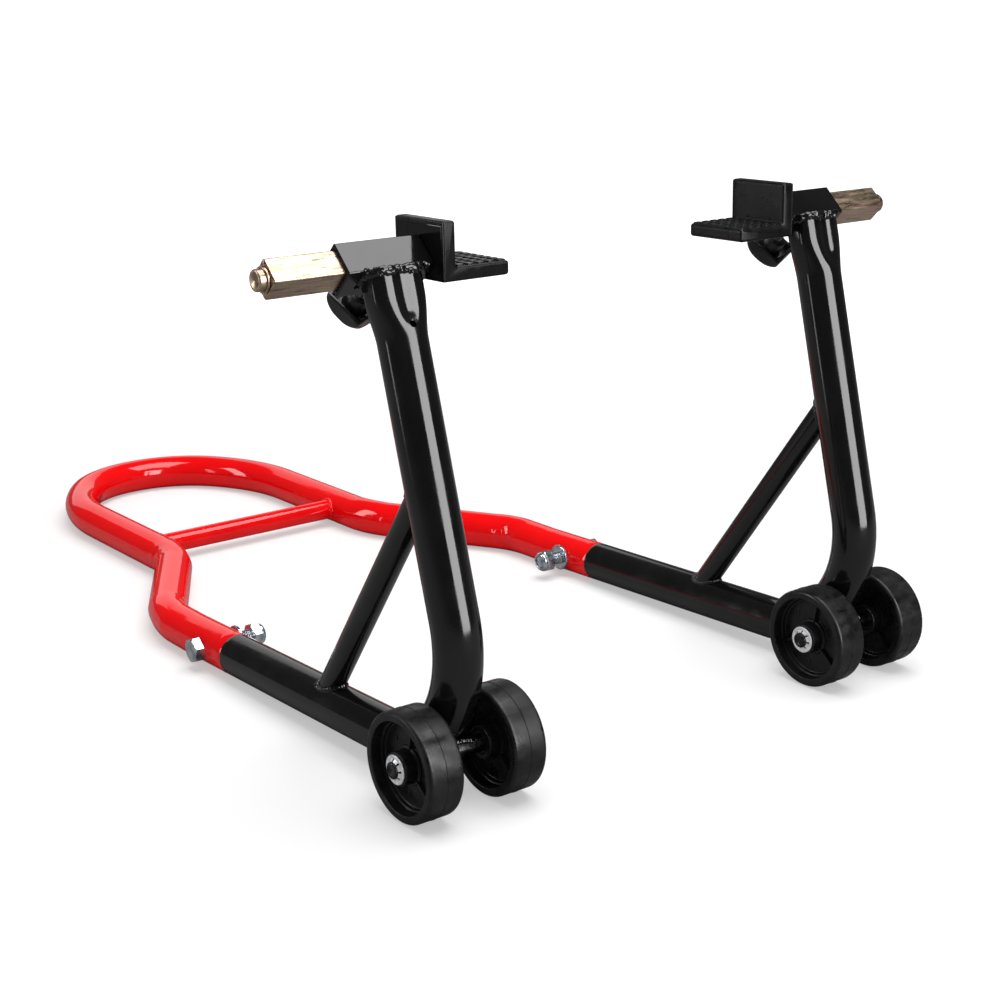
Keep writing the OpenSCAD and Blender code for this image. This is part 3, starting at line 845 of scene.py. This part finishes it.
def build_housing(key, edge):
    """The square housing, its nut, and the weld that joins it to the upright's end."""
    side = SIDES[key]
    outer, inner = rounded_square(HOUSING_W, 1.6, 6), rounded_square(BAR_W + 0.4, 0.8, 6)
    piece(f"saddle_housing_{key}",
          [prism(outer, inner, HOUSING_IN, HOUSING_OUT, 0.5, BAR, ACROSS, vec(0, 1, 1))],
          BLACK, "frame", side)
    outward = away_from(edge.mean(0))
    main = bead(edge, 3.0, 31 + side, True, outward, 5.4, wavy=2.0)
    second = bead(edge[4:44] + [0, -0.8, 1.6], 2.3, 35 + side, False, outward, 6.1, wavy=2.0)
    front = np.array([[x, BAR_Y - HOUSING_W / math.sqrt(2) + 0.6, BAR_Z - 1.0]
                      for x in np.linspace(SIDE_X - 25, SIDE_X + 28, 40)])
    waves = np.array([[0, 0.4 * math.sin(0.5 * k), 1.1 * math.sin(0.7 * k)] for k in range(40)])
    seam = bead(front + waves, 2.5, 41 + side, pitch=5.2, wavy=2.0,
                outward=lambda p: vec(0, -1, 0.2))
    drops = spatter(edge[::3], 51 + side, 34, 3.4, 0.5, 1.3)
    weld(f"housing_weld_{key}", [main, second, seam, *drops], BLACK, side)
    nut = hexagon(HEX_AF, THREAD_R + BORE_FIT, 8, 0, 1, CLAMP + CLAMP_OUT * HOUSING_W / 2,
                  CLAMP_OUT, ACROSS)
    ring = placed(level_ring(7.6, around(40), 0), CLAMP + CLAMP_OUT * (HOUSING_W / 2 + 0.6),
                  CLAMP_OUT, ACROSS)
    fillet = bead(ring, 1.5, 61 + side, ring=True, outward=away_from(CLAMP))
    piece(f"clamp_nut_{key}", [nut, fillet], BLACK, "frame", side)


def build_joint(key):
    """Bolt, washer and lock nut through the tube joint."""
    side = SIDES[key]
    centre = JOINT + RUN_AXIS * BOLT_BACK
    inboard, up = vec(-1, 0, 0), vec(0, 0.35, 1)
    head = hexagon(BOLT_AF, 0, BOLT_HEAD, 0, 1, centre - inboard * TUBE_R, -inboard, up)
    shank_end = TUBE_R + 2
    shank = lathe([(POLE_R, -TUBE_R), (BOLT_R, -TUBE_R), (BOLT_R, shank_end), (POLE_R, shank_end)],
                  centre, inboard)
    reach = TUBE_R + WASHER_T + NUT_STAND_OFF + NUT_T - 1
    tip = thread(BOLT_R, BOLT_PITCH, reach - shank_end, centre + inboard * shank_end, inboard,
                 up, 0.8)
    piece(f"joint_bolt_{key}", [head, shank, tip], ZINC, "frame", side)
    hole = BOLT_R + 0.2
    profile = rounded([(hole, 0, 0), (WASHER_R, 0, 0.3), (WASHER_R, WASHER_T, 0.7),
                       (hole, WASHER_T, 0.4)], 3)
    piece(f"joint_washer_{key}", [lathe(profile, centre + inboard * TUBE_R, inboard)], ZINC,
          "frame", side)
    start = centre + inboard * (TUBE_R + WASHER_T + NUT_STAND_OFF)
    nut = hexagon(BOLT_AF, BOLT_R, NUT_HEX_T, 1, 1, start, inboard, up)
    r = BOLT_AF / 2 - 0.6
    collar = rounded([(BOLT_R, NUT_HEX_T - 1, 0), (r, NUT_HEX_T - 1, 0), (r - 0.2, NUT_T, 2.2),
                      (BOLT_R + 0.9, NUT_T, 0.5), (BOLT_R + 0.7, NUT_T - 1.2, 0.3),
                      (BOLT_R, NUT_T - 1.3, 0)], 5)
    piece(f"joint_nut_{key}", [nut, lathe(collar, start, inboard)], ZINC, "frame", side)


# ---- wheels

def wheel_profile():
    """Half outline (radius, distance from the middle of the wheel), from tread to hub."""
    half, web = WHEEL_W / 2, 3.0
    corners = [(WHEEL_R, 0, 0), (WHEEL_R, 0.2, 0), (TREAD_R, 0.5, 0), (TREAD_R, 0.58, 0),
               (TREAD_R, 1.0, 0), (TREAD_R, half - 4, 0), (TREAD_R - 0.06, half, 2.8),
               (RIM_IN, half, 0.8), (RIM_IN - 0.3, 6.0, 0.4), (RIM_IN - 1.6, 5.6, 0.4),
               (RIM_IN - 2.2, web, 1.2), (HUB_R + 2.4, web, 0.6), (HUB_R + 2.2, 5.0, 0.5),
               (HUB_R + 0.3, 5.4, 0.7), (HUB_R, half + HUB_OUT, 0.9), (8.6, half + HUB_OUT, 0.3),
               (8.2, half + 0.7, 0), (AXLE_R + BORE_FIT, half + 0.7, 0)]
    return [tuple(point) for point in rounded(corners, closed=False)]


def build_wheel(key, place, phase):
    side = SIDES[key]
    pair = 1 if place == "outer" else -1
    middle = vec(WHEEL_X + pair * (WHEEL_GAP + WHEEL_W) / 2, 0, WHEEL_R)
    half = wheel_profile()
    profile = half + [(r, -x) for r, x in half[::-1]]
    parts = [lathe(profile, middle, ACROSS, 112)]
    for k in range(3):
        angle = phase + k * TAU / 3
        verts, faces = block((-6, -1.25, HUB_R - 0.5), (6, 1.25, RIM_IN + 0.4), 0.45, 2)
        verts[:, 1] *= 1 - 0.2 * np.abs(verts[:, 0]) / 6
        parts.append((turn(verts, (1, 0, 0), angle) + middle, faces))
        for face in (-1, 1):
            spot = angle + TAU / 6
            at = middle + vec(face * 2.9, -math.sin(spot) * 22.5, math.cos(spot) * 22.5)
            pip = rounded([(POLE_R, 0, 0), (2.2, 0, 0), (2.2, 0.55, 0.3), (1.6, 0.55, 0.1),
                           (1.5, 0.35, 0), (POLE_R, 0.35, 0)], 3)
            parts.append(lathe(pip, at, vec(face, 0, 0), 28))
    piece(f"wheel_{place}_{key}", parts, PLASTIC, f"{place}_wheel_{key}", side)


def build_axle(key):
    side = SIDES[key]
    centre = vec(WHEEL_X, 0, WHEEL_R)
    near = WHEEL_GAP / 2 + WHEEL_W + HUB_OUT + PUSH_GAP
    half = near + PUSH_T + AXLE_OUT
    arc = [(AXLE_R - 1.1 + 1.1 * math.cos(t), half - 1.1 + 1.1 * math.sin(t))
           for t in np.linspace(0, math.pi / 2, 6)]
    line = [(AXLE_R, 0.0), *arc, (3.4, half), (3.2, half - 0.15), (1.2, half - 0.15),
            (0.5, half - 0.9), (POLE_R, half - 1.0)]
    profile = line[::-1] + [(r, -h) for r, h in line[1:]]
    piece(f"axle_{key}", [lathe(profile, centre, ACROSS, 48)], DARK, "frame", side)
    # the fillets that join the axle to the bend, above and below it
    inward = unit(vec(0, BEND_CENTRE[1], BEND_CENTRE[2] - WHEEL_R))
    parts = []
    for k, angle in enumerate((62, -62)):
        at = turn(inward, (1, 0, 0), math.radians(angle)) * (AXLE_R + 0.9)
        line = np.array([centre + vec(x, 0, 0) + at - inward * (0.02 * x * x)
                         for x in np.linspace(-13, 13, 30)])
        parts.append(bead(line, 2.6, 71 + k + side, pitch=2.6, outward=lambda p: at))
        parts += spatter(line[::3], 75 + k + side, 8, 2.2, 0.5, 1.1)
    weld(f"axle_weld_{key}", parts, BLACK, side)
    for place, pair in (("outer", 1), ("inner", -1)):
        origin, axis = centre + vec(pair * near, 0, 0), vec(pair, 0, 0)
        rim = rounded([(7.8, 0, 0), (10.5, 0, 0.2), (10.5, PUSH_T, 0.35), (9.4, PUSH_T, 0.1),
                       (7.8, 0.8, 0.1)], 3)
        parts = [lathe(rim, origin, axis)]
        for middle in around(8) + 0.3:
            finger = np.array([level_ring(r, middle + np.linspace(-0.29, 0.29, 6), h)
                               for r, h in ((8.2, 0.1), (8.2, 0.7), (6.2, 2.2), (6.15, 1.8))])
            parts.append(loft(placed(finger.transpose(1, 0, 2), origin, axis, UP)))
        piece(f"push_washer_{place}_{key}", parts, SPRING, "frame", side, slot="bright_zinc")


# ---- saddles

def build_bar(key):
    side = SIDES[key]
    outer = rounded_square(BAR_W, 2.0, 6)
    angles = np.arctan2(outer[:, 1], outer[:, 0])
    inner = np.column_stack([np.cos(angles), np.sin(angles)]) * (SHAFT_R + BORE_FIT)
    piece(f"slide_bar_{key}",
          [prism(outer, inner, HOUSING_IN, BAR_END, 0.7, BAR, ACROSS, vec(0, 1, 1))],
          GOLD, f"bar_{key}", side)
    end = BAR_END + 7
    shaft = [(POLE_R, SADDLE_OUT - STEEL_T), (SHAFT_R, SADDLE_OUT - STEEL_T), (SHAFT_R, end - 1.3)]
    shaft += [(SHAFT_R - 1.3 + 1.3 * math.cos(t), end - 1.3 + 1.3 * math.sin(t))
              for t in np.linspace(0.2, math.pi / 2, 6)]
    shaft += [(4.5, end), (4.3, end - 0.12), (1.0, end - 0.12), (0.4, end - 0.5),
              (POLE_R, end - 0.6)]
    low = BAR_END + 0.4
    ring = rounded([(SHAFT_R, low, 0), (SHAFT_R + 1.5, low, 0.25), (SHAFT_R + 1.5, low + 1.6, 0.6),
                    (SHAFT_R, low + 1.6, 0.2)], 4)
    for name, profile in (("pivot_shaft", shaft), ("shaft_ring", ring)):
        piece(f"{name}_{key}", [lathe(profile, BAR, ACROSS)], GOLD, f"saddle_{key}", side)


def build_saddle(key):
    side = SIDES[key]
    body = f"saddle_{key}"
    half, out = SADDLE_W / 2, SADDLE_OUT
    inner = out - SADDLE_LEN
    low, top = BAR_Z - SADDLE_DROP, BAR_Z + SADDLE_RISE
    seat = low + SEAT_T - 1
    # rubber: an L section, rounded, drawn through in Y with softened ends
    section = rounded([(out - 0.25, low, 1.3), (out - 0.25, top, 1.8), (out - CHEEK_T, top, 2.2),
                       (out - CHEEK_T, seat, 1.6), (inner, seat, 2.4), (inner, low, 2.4)], 5)
    along = np.roll(section, -1, 0) - np.roll(section, 1, 0)
    normal = np.column_stack([along[:, 1], -along[:, 0]])
    normal /= np.linalg.norm(normal, axis=1)[:, None]
    if ((section - section.mean(0)) * normal).sum() > 0:
        normal = -normal
    ends = [(half, 1.6), (half - 0.35, 0.75), (half - 0.9, 0.2), (half - 1.6, 0.0),
            (half - 6, 0.0)]
    rows = [[(x, BAR_Y + y, z) for x, z in section + normal * inset]
            for y, inset in [(-y, inset) for y, inset in ends] + [(0, 0.0)] + ends[::-1]]
    parts = [loft(rows)]
    seat_mid = (inner + out - CHEEK_T) / 2
    for i in range(5):
        for j in range(7):
            x, y = seat_mid + (i - 2) * 8.6, BAR_Y + (j - 3) * 8
            parts.append(block((x - 3, y - 3, seat - 1.2), (x + 3, y + 3, seat + 1.0), 0.7, 3))
    # the raised lip round the steel's outboard face
    for z0, z1, y0, y1 in ((low + 0.2, low + 2.0, -half + 0.4, half - 0.4),
                           (top - 3.0, top - 0.6, -half + 0.4, half - 0.4),
                           (low + 1, top - 1.5, -half + 0.3, -half + 2.1),
                           (low + 1, top - 1.5, half - 2.1, half - 0.3)):
        parts.append(block((out - 1.2, BAR_Y + y0, z0), (out, BAR_Y + y1, z1), 0.35, 2))
    piece(f"saddle_rubber_{key}", parts, RUBBER, body, side)
    front, back = BAR_Y - half, BAR_Y + half
    plate = block((out - STEEL_T, front + 2.3, low + 2.2), (out - 0.1, back - 2.3, top - 3.2),
                  0.4, 2)
    shelf = block((inner + 3, front + 2, low - 0.02), (out - 1.5, back - 2, low + STEEL_SEAT_T),
                  0.4, 2)
    ring = np.column_stack([np.full(44, out), circle(SHAFT_R + 0.4, 44) + [BAR_Y, BAR_Z]])
    fillet = bead(ring, 0.3, 81 + side, ring=True, outward=lambda p: ACROSS)
    piece(f"saddle_bracket_{key}", [plate, shelf, fillet], BLACK, body, side)


def build_clamp(key):
    side = SIDES[key]
    near, far, neck = KNOB_NEAR, KNOB_NEAR + KNOB_T, KNOB_NEAR - 6
    a = around(192)
    def grip(inset, h=KNOB_NEAR):
        """Radii of the grip's outline: a dome that is cut off flat on four sides."""
        dome = math.sqrt(1 - (max(0.0, h - KNOB_NEAR - 1.5) / (KNOB_T * 1.22)) ** 2)
        best = np.full(len(a), KNOB_R * dome - inset)
        far_off, cut = KNOB_ACROSS / 2 + KNOB_HOLLOW_R, KNOB_HOLLOW_R + inset
        for k in range(4):
            gap = (a - KNOB_TURN[key] - (k + 0.5) * TAU / 4 + math.pi) % TAU - math.pi
            under = (far_off * np.cos(gap)) ** 2 - (far_off ** 2 - cut ** 2)
            flat = np.where((under > 0) & (np.abs(gap) < 1.2),
                            far_off * np.cos(gap) - np.sqrt(np.maximum(under, 0)), 99)
            best = -np.log(np.exp(-best * 1.6) + np.exp(-flat * 1.6)) / 1.6
        return best
    rows = [(THREAD_R + BORE_FIT, neck), (7.6, neck), (8.3, neck + 0.2), (8.7, neck + 0.8),
            (9.0, near + 5.0), (9.8, near + 6.0), (grip(4.2), near + 6.0), (grip(3.4), near + 5.4),
            (grip(2.9), near + 0.6), (grip(2.6), near + 0.15), (grip(2.1), near),
            (grip(1.2), near), (grip(0.5), near + 0.25), (grip(0.1), near + 0.8),
            (grip(0.0), near + 1.3)]
    rows += [(grip(0.0, h), h) for h in np.arange(near + 2, far - 0.5, 0.5)]
    rows += [(grip(0.3, far - 0.3), far - 0.3), (grip(1.0, far), far), (grip(1.4, far), far),
             (6.2, far - 0.1), (THREAD_R + BORE_FIT, far - 0.4)]
    rows = placed([level_ring(r, a, h) for r, h in rows], CLAMP, CLAMP_OUT, ACROSS)
    cap = rounded([(POLE_R, far - 3, 0), (5.0, far - 3, 0), (5.0, far - 0.3, 0.8),
                   (POLE_R, far - 0.3, 0)], 4)
    piece(f"clamp_knob_{key}", [loft(rows, closed=True), lathe(cap, CLAMP, CLAMP_OUT)], KNOB,
          f"knob_{key}", side)
    tip, end = BAR_W / 2 + 0.25, far - 4.3
    screw = thread(THREAD_R, THREAD_PITCH, end - tip, CLAMP + CLAMP_OUT * end, -CLAMP_OUT, ACROSS)
    piece(f"clamp_stud_{key}", [screw], BARE, f"stud_{key}", side)


build_handle()
build_cross_brace()
for key in SIDES:
    edge = build_side_tube(key)
    build_brace(key)
    build_housing(key, edge)
    build_joint(key)
    build_axle(key)
    build_wheel(key, "outer", 0.17 if key == "l" else 0.35)
    build_wheel(key, "inner", 0.17)
    build_bar(key)
    build_saddle(key)
    build_clamp(key)
    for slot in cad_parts[f"joint_spigot_{key}"].material_slots:
        slot.material = BARE


# ---- floor, light and camera

def softbox(name, place, aim, width, height, radiance, lights_matt=True):
    """A panel that sends out the same light all over. One that lights nothing matt is only
    seen mirrored."""
    data = bpy.data.lights.new(name, "AREA")
    data.shape, data.size, data.size_y = "RECTANGLE", width, height
    data.energy = radiance * math.pi * width * height
    obj = linked(name, data)
    obj.location = place
    obj.rotation_euler = (Vector(aim) - Vector(place)).to_track_quat("-Z", "Y").to_euler()
    obj.visible_diffuse = lights_matt


def floor_plane(name, z, tone, glow):
    """A floor at height z that gives off light, from glow[0] near the stand to glow[1]."""
    reach, glow_from, glow_to = 40.0, 0.6, 1.6
    mesh = bpy.data.meshes.new(name)
    corners = [(x * reach, y * reach, z) for x, y in ((-1, -1), (1, -1), (1, 1), (-1, 1))]
    mesh.from_pydata(corners, [], [(0, 1, 2, 3)])
    finish = Finish(name, (tone, tone, tone), 0.9, specular=0.1)
    finish.mottle(finish.noise(2.5, 3), (0.3, (tone - 0.01,) * 3), (0.7, (tone + 0.01,) * 3))
    finish.set("Emission Color", (1, 1, 1, 1))
    distance = finish.tree.nodes.new("ShaderNodeVectorMath")
    distance.operation = "LENGTH"
    finish.link(finish.coords, distance.inputs[0])
    glowing = finish.ranged(distance.outputs["Value"], *glow, glow_from, glow_to)
    finish.link(glowing, finish.shader.inputs["Emission Strength"])
    mesh.materials.append(finish.material)
    obj = linked(name, mesh)
    return obj


# The floor that is seen, the darker one that the pieces mirror and the one that lights them
seen = floor_plane("floor", 0, 0.46, (0.43, 1.0))
seen.visible_diffuse = seen.visible_glossy = seen.visible_shadow = False
mirrored = floor_plane("floor_mirrored", -0.0006, 0.22, (0, 0))
mirrored.visible_camera = mirrored.visible_diffuse = mirrored.visible_shadow = False
bounce = floor_plane("floor_bounce", -0.0009, 0.6, (0, 0))
bounce.visible_camera = bounce.visible_glossy = False

softbox("ceiling", (0.35, -0.6, 2.5), (0.35, -0.6, 0), 2.3, 2.0, 5.2)
softbox("front", (0.25, -1.95, 0.75), (0.0, -0.4, 0.25), 1.15, 1.5, 9.0, False)
softbox("left_back", (-2.0, 1.2, 0.9), (0, -0.2, 0.2), 0.5, 1.6, 6.0, False)
softbox("left", (-2.1, 0.25, 0.5), (0, -0.3, 0.3), 0.2, 1.0, 3.4, False)
softbox("back", (1.0, 3.2, 1.3), (0, 0, 0.3), 3.2, 1.6, 0.75, False)

world = bpy.data.worlds.new("studio")
world.use_nodes = True
bpy.context.scene.world = world
tree = world.node_tree
background = tree.nodes["Background"]
background.inputs["Color"].default_value = (1, 1, 1, 1)
paths = tree.nodes.new("ShaderNodeLightPath").outputs


def by_ray(is_kind, other, kind):
    """One strength for rays of a kind and another for the rest, which may be an output."""
    node = tree.nodes.new("ShaderNodeMapRange")
    tree.links.new(paths[is_kind], node.inputs["Value"])
    node.inputs["To Max"].default_value = kind
    if isinstance(other, float):
        node.inputs["To Min"].default_value = other
    else:
        tree.links.new(other, node.inputs["To Min"])
    return node.outputs["Result"]


dim = by_ray("Is Glossy Ray", 0.55, 0.08)
tree.links.new(by_ray("Is Camera Ray", dim, 1.05), background.inputs["Strength"])

camera_data = bpy.data.cameras.new("camera")
camera_data.lens, camera_data.sensor_width = 64.76, 36.0
camera = linked("camera", camera_data)
camera.location = (-0.8545, -1.3790, 0.5442)
look = Vector((0.5756, 0.7708, -0.2731)).to_track_quat("-Z", "Y").to_matrix()
camera.rotation_euler = (look @ Matrix.Rotation(math.radians(-1.18), 3, "Z")).to_euler()
bpy.context.scene.camera = camera
bpy.context.scene.view_settings.view_transform = "Standard"
